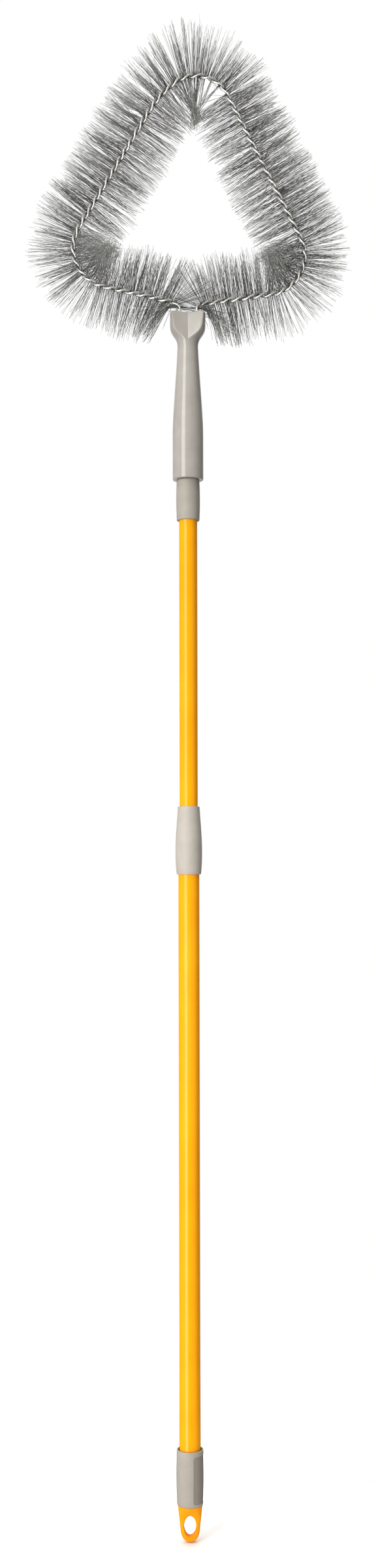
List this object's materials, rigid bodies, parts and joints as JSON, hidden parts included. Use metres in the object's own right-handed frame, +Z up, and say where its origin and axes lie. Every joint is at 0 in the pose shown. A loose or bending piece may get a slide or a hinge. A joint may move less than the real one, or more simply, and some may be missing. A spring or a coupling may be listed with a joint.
{
  "type": "telescopic cobweb brush",
  "caption": "Telescopic pole with a twist lock, end grip and hanging loop, carrying a twisted-wire brush bent into a rounded triangle for dusting ceilings and corners.",
  "frame": {"origin": "on the pole axis in the middle of the end grip, where a hand holds the pole", "axes": "+Z up the pole to the brush head, -Y towards the front of the wire triangle, +X to its right"},
  "size_m": [0.3299, 0.1006, 1.5632],
  "materials": {
    "yellow_plastic": "satin moulded",
    "matt_taupe_plastic": "matt moulded",
    "yellow_painted_steel": "gloss paint",
    "white_plastic": "moulded",
    "bright_steel": "bright drawn wire",
    "gloss_taupe_plastic": "gloss moulded",
    "grey_filament": "drawn filament"
  },
  "bodies": {
    "lower_pole": {"hang_loop": "yellow_plastic", "end_grip": "matt_taupe_plastic", "lower_tube": "yellow_painted_steel", "clutch_sleeve": "matt_taupe_plastic"},
    "lock_ring": {"lock_ring": "white_plastic"},
    "upper_pole": {"upper_tube": "yellow_painted_steel", "lock_spindle": "white_plastic", "lock_washer": "bright_steel", "lock_screw": "bright_steel", "threaded_tip": "matt_taupe_plastic"},
    "brush_head": {"brush_socket": "gloss_taupe_plastic", "core_wire_a": "bright_steel", "core_wire_b": "bright_steel", "bristles_lower_left": "grey_filament", "bristles_left": "grey_filament", "bristles_right": "grey_filament", "bristles_lower_right": "grey_filament"}
  },
  "joints": [
    {"name": "pole_telescope", "type": "slide", "parent": "lower_pole", "child": "lock_ring", "axis": [0, 0, 1], "range_m": [-0.2963, 0.235]},
    {"name": "twist_lock", "type": "hinge", "parent": "lock_ring", "child": "upper_pole", "pos_m": [0, 0, 0.44], "axis": [0, 0, 1], "range_deg": [0, 40]},
    {"name": "head_unscrew", "type": "slide", "parent": "upper_pole", "child": "brush_head", "axis": [0, 0, 1], "range_m": [0, 0.045]}
  ]
}
